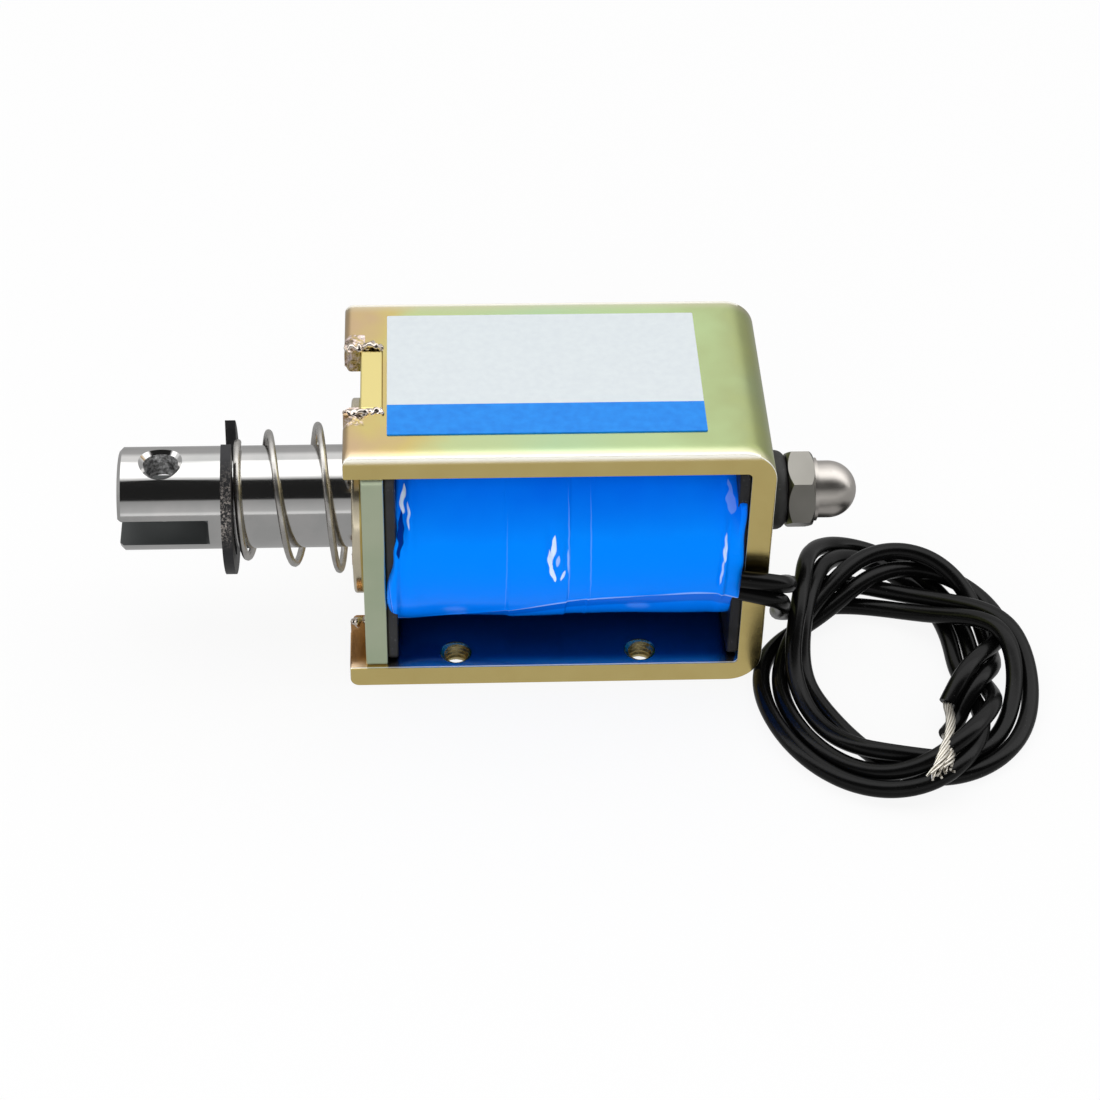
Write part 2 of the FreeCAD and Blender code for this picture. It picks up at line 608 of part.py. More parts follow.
def make_parts():
    """Every piece by node name."""
    coil = make_lead_coil()
    return {
        "yoke_frame": make_yoke(),
        "end_plate": make_end_plate(),
        "spring_seat": make_spring_seat(),
        "bobbin": make_bobbin(),
        "coil_winding": winding_space(WINDING_RADIUS),
        "coil_tape": make_tape(),
        "guide_sleeve": tube(SLEEVE_IN_RADIUS, SLEEVE_OUT_RADIUS, END_PLATE_OUT, WEB_IN),
        "fixed_pole": make_pole(),
        "plunger": make_plunger(),
        "push_rod": make_push_rod(),
        "e_clip": make_clip(),
        "return_spring": make_spring(),
        "rubber_washer": make_rubber_washer(),
        "cap_nut": make_cap_nut(),
        "label": make_label(),
        "lead_1": make_lead("lead_1", LEAD_1_ROUTE, coil),
        "lead_2": make_lead("lead_2", LEAD_2_ROUTE, coil),
        "lead_coil": coil,
    }


def main():
    os.makedirs("parts", exist_ok=True)
    for node, shape in make_parts().items():
        print(f"{node}: {len(shape.Solids)} solid, valid {shape.isValid()}, {shape.Volume:.1f} mm3")
        shape.exportStep(f"parts/{node}.step")


main()
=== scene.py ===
"""Looks of a push pull solenoid with an open frame. Lengths are in millimetres, in the frame of
its CAD model, and turn into Blender's metres where a mesh or curve is made."""
import math

import bpy
import numpy as np
from mathutils import Matrix, Vector, noise


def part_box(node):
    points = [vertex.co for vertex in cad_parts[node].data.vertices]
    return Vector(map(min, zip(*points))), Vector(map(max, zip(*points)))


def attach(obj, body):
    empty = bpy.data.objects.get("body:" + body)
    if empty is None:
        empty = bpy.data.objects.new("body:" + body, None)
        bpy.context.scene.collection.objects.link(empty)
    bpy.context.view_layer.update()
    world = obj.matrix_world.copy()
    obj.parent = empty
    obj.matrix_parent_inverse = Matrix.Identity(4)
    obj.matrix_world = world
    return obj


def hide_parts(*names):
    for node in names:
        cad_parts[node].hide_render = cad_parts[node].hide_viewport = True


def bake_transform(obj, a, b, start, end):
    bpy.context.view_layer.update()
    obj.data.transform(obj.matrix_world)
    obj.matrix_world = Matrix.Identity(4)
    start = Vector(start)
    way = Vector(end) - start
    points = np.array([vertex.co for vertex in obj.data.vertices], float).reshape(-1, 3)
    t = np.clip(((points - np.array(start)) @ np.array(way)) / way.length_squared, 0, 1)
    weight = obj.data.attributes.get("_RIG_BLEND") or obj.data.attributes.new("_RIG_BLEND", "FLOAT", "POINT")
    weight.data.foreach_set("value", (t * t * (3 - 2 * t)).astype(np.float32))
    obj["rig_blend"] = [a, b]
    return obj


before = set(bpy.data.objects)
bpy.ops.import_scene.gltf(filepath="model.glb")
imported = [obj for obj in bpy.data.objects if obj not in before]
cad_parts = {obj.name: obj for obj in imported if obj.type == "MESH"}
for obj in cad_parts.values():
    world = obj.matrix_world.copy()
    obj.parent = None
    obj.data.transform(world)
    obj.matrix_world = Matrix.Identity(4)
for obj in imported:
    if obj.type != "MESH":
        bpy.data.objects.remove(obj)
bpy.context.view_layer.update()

MM = 0.001
TAU = 2 * math.pi

# Camera, at the photograph's viewing angle
CAMERA_PLACE = (-0.01153, -0.20938, 0.18947)
CAMERA_AZIMUTH = -3.3
CAMERA_ELEVATION = 41.06
CAMERA_ROLL = 1.33
CAMERA_LENS = 91.54

# Leads. The routes are the CAD model's own, out to the loose coil.
LEAD_RADIUS = 0.85
LEAD_1_ROUTE = [(17.9, -13.2, 14.3), (20.4, -13.6, 14.2), (22.4, -13.0, 13.3), (22.9, -10.8, 11.5),
                (23.0, -8.3, 9.3), (23.2, -5.8, 7.1), (24.4, -3.7, 5.0), (26.6, -2.2, 3.6),
                (29.4, -1.2, 2.9)]
LEAD_2_ROUTE = [(17.9, -12.95, 12.5), (19.9, -13.4, 12.35), (21.8, -13.2, 11.5), (22.4, -11.6, 9.5),
                (22.4, -9.6, 7.1), (22.6, -7.4, 4.8), (23.7, -5.4, 2.9), (25.7, -3.9, 1.7),
                (28.5, -2.7, 1.15)]

# Loose turns: how far each lead lies from the coil's centre, and how many leads it lies on, at
# every eighth of a turn. They are eased into COIL_POINTS control points for each eighth, and then
# settled against each other.
COIL_CENTRE = (33.9, -11.8)
COIL_START = 135
COIL_EIGHTH = 45
COIL_POINTS = 4
COIL_FIRST = 4
LEAD_1_LAST = 81
LEAD_2_LAST = 82
LEAD_1_REACH = [12.4, 10.6, 9.4, 11.4, 13.8, 14.8, 10.3, 9.2, 10.9, 17.0, 8.5, 6.8, 10.5, 18.4, 13.9,
                13.2, 10.4, 12.2, 13.6, 9.4, 8.0, 10.0]
LEAD_2_REACH = [12.9, 8.9, 7.8, 10.5, 12.6, 14.8, 11.7, 11.0, 12.2, 18.2, 9.4, 8.4, 11.0, 16.6, 12.0,
                10.9, 11.6, 13.2, 13.2, 9.6, 8.9, 11.2]
LEAD_1_LAYER = [2.1, 0.9, 1.0, 1.0, 0.3, 0.0, 0.3, 1.4, 3.4, 0.9, 0.0, 0.0, 1.0, 1.0, 0.4, 0.0, 1.7,
                1.3, 0.2, 0.9, 1.5, 1.3]
LEAD_2_LAYER = [1.6, 0.6, 1.0, 1.0, 0.3, 0.2, 0.5, 2.2, 3.9, 0.5, 0.0, 0.2, 1.2, 1.2, 0.6, 0.2, 1.9,
                1.6, 0.2, 0.8, 0.7, 0.3]

# Settling of the turns: distance kept between centre lines, and how far and how firmly they move
LEADS_APART = 1.78
SETTLING_ROUNDS = 220
SETTLING_STEP = 0.15
PULL_HOME = 0.04
PULL_DOWN = 0.02
STIFFNESS = 0.12
GROUND_GAP = 0.02

# Bare twisted ends of the leads
STRAND_RADIUS = 0.13
STRANDS = 9
BUNDLE_RADIUS = 0.37
BUNDLE_TWIST = 1.6
STRAND_STEPS = 14
STRAND_ROOT = 0.8
STRAND_FRAY = 0.12
STRAND_1_TIPS = [(37.7, -22.05, 3.9), (36.91, -25.11, 4.3), (35.84, -27.81, 4.4), (34.89, -29.89, 4.3)]
STRAND_2_TIPS = [(37.15, -24.68, 3.6), (36.72, -27.14, 4.1), (36.29, -28.86, 4.0)]

# Wrapping tape. Angles run from the front, up over the coil.
AXIS_Z = 14.2
TAPE_START = -14.6
TAPE_END = 17.5
TAPE_HALF_WIDTH = 12.05
TAPE_HALF_HEIGHT = 11.62
TAPE_ROUND = 0.5
TAPE_INNER = 3.0
TAPE_LAP = 0.14
FLANGE_COVER = 11.85
TAPE_COLUMNS = 200
TAPE_ROWS = 360

# Relief of the tape. Folds have a place, lean, step and ridge. Dents have a height, place in x and
# half width, lean and the angle it turns about, and the angle and half width around the coil.
TAPE_FOLDS = ((-4.1, 0.006, 0.07, 0.03), (1.6, -0.004, -0.06, 0.05), (3.7, -0.005, 0.05, 0.04))
FLANGE_CREASE = 16.3
TAPE_DENTS = ((-0.42, 0.15, 0.42, 0.02, 12, 13, 10), (0.26, 0.95, 0.3, -0.012, 12, 11, 11),
              (0.3, -13.6, 1.5, 0.0, 0, -18, 26), (-0.5, -13.9, 0.45, -0.01, 30, 30, 15),
              (0.25, -13.2, 0.4, 0.0, 0, 42, 22))
SLACK_LIMIT = 0.2

# Light painted on the front of the tape, as places in x and z: the lap's line, which the relief also
# follows, with a highlight and a shadow painted along it; glints painted as pale streaks with their half
# width and strength; and the dark slit beside the left flange, painted as shade. The lap has its angles as
# well.
LAP_LINE = ((-13.3, 6.3), (-5.1, 8.2), (3.0, 10.5), (9.3, 11.0), (16.1, 11.2), (18.5, 10.2))
LAP_ANGLES = (-43, -31, -19, -16, -15, -20)
LAP_FROM = 15
LAP_SPAN = 34
LAP_TALL = 28
TAPE_GLINTS = (((0.45, 18.5), (0.0, 15.2), 0.3, 0.95), ((-0.25, 17.0), (0.1, 13.9), 0.2, 0.95),
                ((0.15, 15.0), (0.45, 13.4), 0.22, 0.9), ((0.75, 16.6), (0.6, 15.2), 0.12, 0.5),
                ((1.25, 14.9), (0.95, 13.6), 0.13, 0.8),
                ((-13.8, 22.6), (-13.9, 20.2), 0.24, 0.95), ((-13.35, 21.4), (-13.4, 19.2), 0.12, 0.7),
                ((16.45, 18.6), (16.35, 15.4), 0.12, 0.8), ((16.35, 15.8), (16.1, 12.6), 0.09, 0.6),
                ((16.7, 22.8), (16.7, 20.4), 0.3, 0.16),
                ((-4.1, 20.0), (-4.3, 8.6), 0.05, 0.06), ((1.6, 22.0), (1.75, 10.8), 0.07, 0.12),
                ((3.7, 22.0), (3.8, 11.0), 0.06, 0.1), ((1.55, 17.2), (1.6, 14.5), 0.1, 0.35))
TAPE_SLIT_SHADE = ((-14.04, 20.6), (-14.3, 16.4), 0.26)

# Return spring. Its radii are the photograph's, and a little larger than the CAD model's.
SPRING_WIRE = 0.35
SPRING_SMALL = 5.55
SPRING_LARGE = 7.7
SPRING_TURNS = 3.2
SPRING_CLOSED_SMALL = 0.75
SPRING_CLOSED_LARGE = 1.2
SPRING_START_ANGLE = 60
SPRING_SEAT_GAP = 0.03
SPRING_RINGS = 40
SPRING_SIDES = 14

# Tapped holes
HOLE_X = 9.0
HOLE_Y = 9.85
TAP_RADIUS = 1.24
THREAD_PITCH = 0.5
THREAD_DEPTH = 0.2
THREAD_INSET = 0.04
THREAD_MOUTH = 0.36
THREAD_FLARE = 0.3
PLATE = 2.3

# Crumpled metal along the notches
TOP = 28.4
NOTCH_HALF = 5.0
BEAD_RADIUS = 0.42
BEAD_THIN = 0.12
BEAD_LIMIT = 0.6
BEAD_SINK = 0.14
BEAD_OUT = 0.05
BEAD_START = -19.35
BEAD_END = -15.4

# Rolled edges of the frame
ROLL_START = 10.1
ROLL_WIDTH = 2.0
ROLL_DEPTH = 0.35
FRONT_FACE = 11.95

# Zones of the frame's finish, and of the shade, reflections and highlights painted into it. Sides are
# distances from its middle, EDGE_FACE just short of its faces.
EDGE_FACE = 11.9
PLATE_EDGE = 11.7
RIM_TOP = TOP - 0.4
LOWER_ARM = 3.0
LOWER_EAR = -17.6
SHADE_START = -15.6
SHADE_END = 18.3
STAKED_END = -17.3
STAKED_HALF = 7.0
STAKED_BOTTOM = 25.5
ROLL_SHEEN_START = 10.4
ROLL_SHEEN_END = 11.7
RIM_HIGHLIGHT_START = 11.35
RIM_HIGHLIGHT_END = 11.8

# Plunger's slot and cross hole
PLUNGER_TURN = 5.5
PLUNGER_END = -41.2
SLOT_HALF = 1.63
SLOT_DEPTH = 8.65
PIN_FROM_END = 4.1
PIN_RADIUS = 1.68

# Label
LABEL_BAND = 4.4

# Clip's rim, with its pale specks of wear and painted glints, and where the nut's flats end and its dome
# starts
CLIP_RIM = 7.4
CLIP_FRONT = -3.0
CLIP_SPECK_BAND = (15.0, 20.0)
NUT_DOME = 26.1

# Where the bobbin falls into shade
BOBBIN_SHADE = (8.0, 15.0)

# Studio: brightness of the sky by the angle from the horizon behind, over the top to the front
STUDIO_PANELS = ((0, 0.45), (20, 0.5), (33, 1.0), (52, 1.0), (58, 1.9), (92, 1.9), (103, 0.02),
                 (145, 0.02), (148, 0.4), (172, 0.6), (176, 0.95), (180, 0.95))
FLOOR_HALF = 2000.0
FLOOR_LEVEL = -0.02
LAMP_PLACE = (-0.1, -0.58, 0.29)
LAMP_SIZE = 0.6
LAMP_ENERGY = 2.5


def link(thing):
    """Puts a new object into the scene."""
    bpy.context.collection.objects.link(thing)
    return thing


def grid_object(name, points, around):
    """Mesh over a grid of points, closed across its last axis where around is true."""
    rows, columns = points.shape[:2]
    faces = []
    for i in range(rows - 1):
        for j in range(columns if around else columns - 1):
            k = (j + 1) % columns
            faces.append((i * columns + j, i * columns + k, (i + 1) * columns + k, (i + 1) * columns + j))
    mesh = bpy.data.meshes.new(name)
    mesh.from_pydata((points.reshape(-1, 3) * MM).tolist(), [], faces)
    mesh.polygons.foreach_set("use_smooth", [True] * len(faces))
    return link(bpy.data.objects.new(name, mesh))


def make_camera():
    """Camera that stands where the photograph's stood."""
    camera = link(bpy.data.objects.new("camera", bpy.data.cameras.new("camera")))
    turn = Matrix.Rotation(math.radians(CAMERA_AZIMUTH), 4, "Z")
    turn @= Matrix.Rotation(math.radians(90 - CAMERA_ELEVATION), 4, "X")
    turn @= Matrix.Rotation(math.radians(CAMERA_ROLL), 4, "Z")
    camera.matrix_world = Matrix.Translation(CAMERA_PLACE) @ turn
    camera.data.lens = CAMERA_LENS
    bpy.context.scene.camera = camera


def eased(values, at):
    """Smooth value between the entries of a list."""
    i = min(int(at), len(values) - 2)
    t = at - i
    a, b, c, d = (values[min(max(j, 0), len(values) - 1)] for j in range(i - 1, i + 3))
    return b + 0.5 * t * (c - a + t * (2 * a - 5 * b + 4 * c - d + t * (3 * (b - c) + d - a)))


def coil_turns(reach, layer, last):
    """Control points of one lead's loose turns on the ground."""
    points = []
    for i in range(COIL_FIRST, last + 1):
        at = i / COIL_POINTS
        angle = math.radians(COIL_START - COIL_EIGHTH * at)
        out = eased(reach, at)
        height = LEAD_RADIUS * (1 + 2 * max(0.0, eased(layer, at)))
        points.append((COIL_CENTRE[0] + out * math.cos(angle), COIL_CENTRE[1] + out * math.sin(angle),
                       height))
    return points


def crowding(points, at, share, skip):
    """Push on each control point from places on the leads that are nearer than a diameter."""
    places = points[at] * (1 - share) + points[at + 1] * share
    gaps = np.sqrt(((places[:, None] - places[None]) ** 2).sum(2))
    i, j = np.nonzero((gaps < LEADS_APART) & ~skip)
    gap = np.maximum(gaps[i, j], 1e-6)[:, None]
    push = 0.5 * (LEADS_APART - gap) * (places[i] - places[j]) / gap
    move = np.zeros_like(points)
    weight = np.zeros((len(points), 1))
    for k, sign in ((i, 1), (j, -1)):
        for end, part in ((0, 1 - share[k]), (1, share[k])):
            np.add.at(move, at[k] + end, sign * push * part)
            np.add.at(weight, at[k] + end, part)
    return move / np.maximum(0.6 * weight, 1.0)


def stiffening(line):
    """Move that evens out a lead's bending."""
    bow = np.zeros_like(line)
    bow[1:-1] = (line[:-2] + line[2:]) / 2 - line[1:-1]
    even = np.zeros_like(line)
    even[2:-2] = bow[2:-2] - (bow[1:-3] + bow[3:-1]) / 2
    return STIFFNESS * even


def settled(leads, fixed):
    """Turns pushed off each other until none lies in another, kept smooth and on the ground."""
    points = np.array([point for lead in leads for point in lead])
    owner = np.repeat(range(len(leads)), [len(lead) for lead in leads])
    along = np.concatenate([range(len(lead)) for lead in leads])
    free = (along >= fixed)[:, None]
    home = points.copy()
    runs = np.flatnonzero(owner[:-1] == owner[1:])
    at = np.repeat(runs, 4)
    share = np.tile([0, 0.25, 0.5, 0.75], len(runs))[:, None]
    skip = (owner[at][:, None] == owner[at][None]) & (abs(at[:, None] - at[None]) < 4)
    skip |= np.tri(len(at), dtype=bool)
    for step in range(SETTLING_ROUNDS):
        move = crowding(points, at, share, skip)
        for lead in range(len(leads)):
            move[owner == lead] += stiffening(points[owner == lead])
        if step < 0.6 * SETTLING_ROUNDS:
            back = PULL_HOME * (home - points)
            back[:, 2] = -PULL_DOWN
            move += back
        points += np.where(free, np.clip(move, -SETTLING_STEP, SETTLING_STEP), 0)
        points[:, 2] = np.maximum(points[:, 2], LEAD_RADIUS + GROUND_GAP)
    return [points[owner == lead] for lead in range(len(leads))]


def smooth_curve(name, lines, radius):
    """Round wires as one curve object, each line being a spline's control points."""
    data = bpy.data.curves.new(name, "CURVE")
    data.dimensions = "3D"
    data.bevel_depth = 1.0
    data.bevel_resolution = 5
    data.resolution_u = 8
    data.use_fill_caps = True
    for points in lines:
        spline = data.splines.new("NURBS")
        spline.points.add(len(points) - 1)
        for spot, point in zip(spline.points, points):
            spot.co = (point[0] * MM, point[1] * MM, point[2] * MM, 1)
            spot.radius = radius * MM
        spline.order_u = 3
        spline.use_endpoint_u = True
    curve = link(bpy.data.objects.new(name, data))
    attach(curve, "frame")
    return curve


def strand_bundle(name, start, ahead, tips):
    """Tinned wires twisted together, fraying towards their tips."""
    centre = [np.array(start) - STRAND_ROOT * np.array(ahead), np.array(start)]
    centre += [np.array(tip) for tip in tips]
    wires = []
    for wire in range(STRANDS):
        ring = 0.25 if wire == 0 else 1.0
        points = []
        for step in range(STRAND_STEPS + 1):
            share = step / STRAND_STEPS
            middle = np.array([eased([spot[axis] for spot in centre], share * (len(centre) - 1))
                               for axis in range(3)])
            angle = TAU * (wire / (STRANDS - 1) + BUNDLE_TWIST * share)
            fray = STRAND_FRAY * share ** 3 * (wire % 4)
            out = ring * (BUNDLE_RADIUS + fray)
            points.append(middle + np.array([out * math.cos(angle), 0, 0.9 * out * math.sin(angle)]))
        cut = STRAND_STEPS + 1 - wire % 3 // 2
        wires.append(points[:cut])
    bundle = smooth_curve(name, wires, STRAND_RADIUS)
    bundle.data.resolution_u = 4
    bundle.data.bevel_resolution = 2
    return bundle


def make_leads(insulation, tinned):
    """Both leads, from the wrapping to their bare ends."""
    routes = [LEAD_1_ROUTE + coil_turns(LEAD_1_REACH, LEAD_1_LAYER, LEAD_1_LAST),
              LEAD_2_ROUTE + coil_turns(LEAD_2_REACH, LEAD_2_LAYER, LEAD_2_LAST)]
    routes = settled(routes, len(LEAD_1_ROUTE))
    for number, (route, tips) in enumerate(zip(routes, (STRAND_1_TIPS, STRAND_2_TIPS)), 1):
        lead = smooth_curve(f"lead_{number}_insulation", [route], LEAD_RADIUS)
        lead.data.materials.append(insulation)
        ahead = (route[-1] - route[-2]) / np.linalg.norm(route[-1] - route[-2])
        strands = strand_bundle(f"lead_{number}_strands", route[-1], ahead, tips)
        strands.data.materials.append(tinned)
        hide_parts(f"lead_{number}", "lead_coil")


def bell(values, centre, half):
    """Smooth bump of height one."""
    return np.exp(-((values - centre) / half) ** 2)


def between(values, low, high, soft):
    """One between two values, falling to nothing over a soft margin."""
    rise = np.clip((values - low) / soft + 0.5, 0, 1)
    fall = np.clip((high - values) / soft + 0.5, 0, 1)
    return rise * rise * (3 - 2 * rise) * fall * fall * (3 - 2 * fall)


def tape_relief(x, angle):
    """Height of the wrapping over its plain oval: laps, creases, a dent and slack at the ends."""
    relief = np.zeros(np.broadcast(x, angle).shape)
    front = between(angle, -60, 75, 12)
    for place, lean, step, ridge in TAPE_FOLDS:
        away = x - place + lean * angle
        relief += (step / (1 + np.exp(-away / 0.05)) * np.exp(-np.abs(away) / 2.5)) * front
        relief += ridge * bell(away, 0, 0.09) * front
    relief += 0.05 * between(x, TAPE_FOLDS[0][0], TAPE_FOLDS[1][0], 0.5) * front
    for height, place, half, lean, level, middle, spread in TAPE_DENTS:
        relief += height * bell(x + lean * (angle - level), place, half) * bell(angle, middle, spread)
    relief -= 0.24 * bell(x - 0.006 * angle, 16.12, 0.16) * between(angle, -8, 22, 6)
    relief += 0.2 * bell(x - 0.006 * angle, 16.45, 0.2) * between(angle, -18, 28, 10)
    edge = np.interp(x, [place for place, height in LAP_LINE], LAP_ANGLES)
    relief += TAPE_LAP * between(angle, edge, 220, 1.2)
    relief += 0.05 * bell(angle, edge + 1.5, 1.2) * between(x, -12, 17, 2)
    relief += 0.62 * between(x, -17, -14.4, 0.6) * bell(angle, -16, 24)
    relief += 0.2 * between(x, 15.9, 19, 0.8) * bell(angle, -30, 14)
    relief += 0.07 * np.sin(0.4 * x + 0.02 * angle) * np.sin(0.05 * angle + 1.1) * front
    corner = FLANGE_COVER / np.cos(np.radians(np.clip(angle, -50, 50)))
    over_flange = np.clip(corner - TAPE_HALF_WIDTH, 0, 4.2)
    relief += over_flange * np.clip((x - 16.1) / 1.5, 0, 1) ** 1.5 * between(angle, -10, 46, 8)
    return relief


def tape_columns():
    """Shares of the tape's length, set closer together at its creases and ends."""
    span = TAPE_END - TAPE_START
    creases = [fold[0] for fold in TAPE_FOLDS] + [FLANGE_CREASE]
    near = [np.linspace(-0.5, 0.5, 17) / span + (crease - TAPE_START) / span for crease in creases]
    ends = [np.linspace(0, 0.03, 10), np.linspace(0.97, 1, 10)]
    shares = np.concatenate([np.linspace(0, 1, TAPE_COLUMNS)] + near + ends)
    return np.unique(np.round(shares, 5))[:, None]


def make_tape(look):
    """Glossy tape wound over the coil, with its laps and creases."""
    even = np.linspace(0, TAU, TAPE_ROWS, endpoint=False)[None]
    turn = even - 0.6 * np.sin(even)
    angle = (np.degrees(turn) + 180) % 360 - 180
    start = TAPE_START - 0.95 * bell(angle, -14, 20) - 0.4 * bell(angle, -48, 9)
    start = start + 0.12 * np.sin(0.31 * angle) * bell(angle, 20, 22)
    end = TAPE_END + 0.7 * between(angle, -70, 54, 16) + 0.06 * np.sin(0.23 * angle)
    end = end + 0.3 * bell(angle, -38, 12)
    share = tape_columns()
    x = start + (end - start) * share
    from_end = np.minimum(x - start, end - x)
    inside = np.clip(TAPE_ROUND - from_end, 0, TAPE_ROUND)
    drop = TAPE_ROUND - np.sqrt(TAPE_ROUND ** 2 - inside ** 2)
    out = tape_relief(x, angle) - drop
    x = np.concatenate([x[:1], x, x[-1:]])
    out = np.concatenate([out[:1] - TAPE_INNER, out, out[-1:] - TAPE_INNER])
    points = np.stack([x, -(TAPE_HALF_WIDTH + out) * np.cos(turn),
                       AXIS_Z + (TAPE_HALF_HEIGHT + np.minimum(out, SLACK_LIMIT)) * np.sin(turn)], axis=2)
    tape = grid_object("tape_wrap", points, True)
    tape.data.materials.append(look)
    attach(tape, "frame")
    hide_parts("coil_tape")


def spring_advance(share):
    """Advance of the wire along the axis, slowing down into the closed end turns."""
    first = SPRING_CLOSED_SMALL / SPRING_TURNS
    last = SPRING_CLOSED_LARGE / SPRING_TURNS
    pace = 1 / (1 - (first + last) / 2)
    if share < first:
        return pace * share ** 2 / (2 * first)
    if share > 1 - last:
        return 1 - pace * (1 - share) ** 2 / (2 * last)
    return pace * (share - first / 2)


def make_spring(look):
    """Conical wire spring that shortens between the clip and its seat, its wire staying round."""
    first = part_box("e_clip")[1][0] / MM + SPRING_SEAT_GAP + SPRING_WIRE
    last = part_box("spring_seat")[0][0] / MM - SPRING_SEAT_GAP - SPRING_WIRE
    count = round(SPRING_TURNS * SPRING_RINGS)
    rings = []
    weights = []
    for i in range(count + 1):
        share = i / count
        angle = math.radians(SPRING_START_ANGLE) + TAU * SPRING_TURNS * share
        radius = SPRING_SMALL + (SPRING_LARGE - SPRING_SMALL) * share
        x = first + (last - first) * spring_advance(share)
        outward = np.array([0, math.cos(angle), math.sin(angle)])
        middle = np.array([x, 0, AXIS_Z]) + radius * outward
        wire = SPRING_WIRE * (0.02 if i in (0, count) else 1)
        ring = [middle + wire * (math.cos(TAU * k / SPRING_SIDES) * outward
                                 + math.sin(TAU * k / SPRING_SIDES) * np.array([1, 0, 0]))
                for k in range(SPRING_SIDES)]
        if i == 1:
            rings.append(rings[0] + (ring - rings[0]) * 0.999)
        rings.append(np.array(ring))
        weights.append(1 - (x - first) / (last - first))
    rings[1] = rings[0] + (rings[2] - rings[0]) * 0.98
    weights.insert(1, weights[0])
    spring = grid_object("spring_wire", np.array(rings), True)
    spring.data.materials.append(look)
    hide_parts("return_spring")
    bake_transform(spring, "frame", "clip", start=(last * MM, 0, AXIS_Z * MM),
             end=(first * MM, 0, AXIS_Z * MM))
    attribute = spring.data.attributes["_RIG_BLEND"]
    attribute.data.foreach_set("value", np.repeat(weights, SPRING_SIDES).astype(np.float32))


def make_threads(look):
    """Cut threads inside the four tapped holes."""
    turn = np.linspace(0, TAU, 48, endpoint=False)[None]
    z = np.linspace(THREAD_INSET, PLATE - THREAD_INSET, 64)[:, None]
    phase = (z / THREAD_PITCH + turn / TAU) % 1
    mouth = np.clip(THREAD_MOUTH - np.minimum(z, PLATE - z), 0, THREAD_FLARE)
    crest = THREAD_DEPTH * (1 - abs(2 * phase - 1))
    radius = np.minimum(TAP_RADIUS + mouth - crest, TAP_RADIUS + mouth)
    for number, (side_x, side_y) in enumerate(((-1, -1), (1, -1), (-1, 1), (1, 1)), 1):
        points = np.stack([side_x * HOLE_X + radius * np.cos(turn),
                           side_y * HOLE_Y + radius * np.sin(turn), z + 0 * turn], axis=2)
        thread = grid_object(f"thread_{number}", points, True)
        thread.data.materials.append(look)
        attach(thread, "frame")


def make_stake_beads(look):
    """Crumpled metal that the staking chisel left along the notches."""
    along = np.linspace(0, 1, 44)[:, None]
    turn = np.linspace(0, TAU, 14, endpoint=False)[None]
    for number, (side, level) in enumerate(((-1, TOP), (1, TOP), (-1, PLATE), (1, PLATE)), 1):
        rough = np.array([[noise.noise(Vector((9 * t, 1.3 * math.cos(a), 1.3 * math.sin(a) + 7 * number)))
                           for a in turn[0]] for t in along[:, 0]])
        ends = np.sqrt(np.clip(1 - (2 * along - 1) ** 6, 0.0004, 1))
        radius = ends * np.clip(BEAD_RADIUS * (1 + 1.7 * rough), BEAD_THIN, BEAD_LIMIT)
        sway = 0.2 * np.sin(9 * along + number)
        x = BEAD_START + (BEAD_END - BEAD_START) * along + 0 * turn
        y = side * (NOTCH_HALF + BEAD_OUT) + sway + radius * np.cos(turn)
        z = level - BEAD_SINK + 0.1 * np.sin(13 * along + 2 * number) + radius * np.sin(turn)
        bead = grid_object(f"stake_bead_{number}", np.stack([x, y, z], axis=2), True)
        bead.data.materials.append(look)
        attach(bead, "frame")


def linear(red, green, blue):
    """Scene colour from the red, green and blue of a picture, out of 255."""
    parts = [value / 255 for value in (red, green, blue)]
    return tuple(v / 12.92 if v <= 0.04045 else ((v + 0.055) / 1.055) ** 2.4 for v in parts) + (1,)


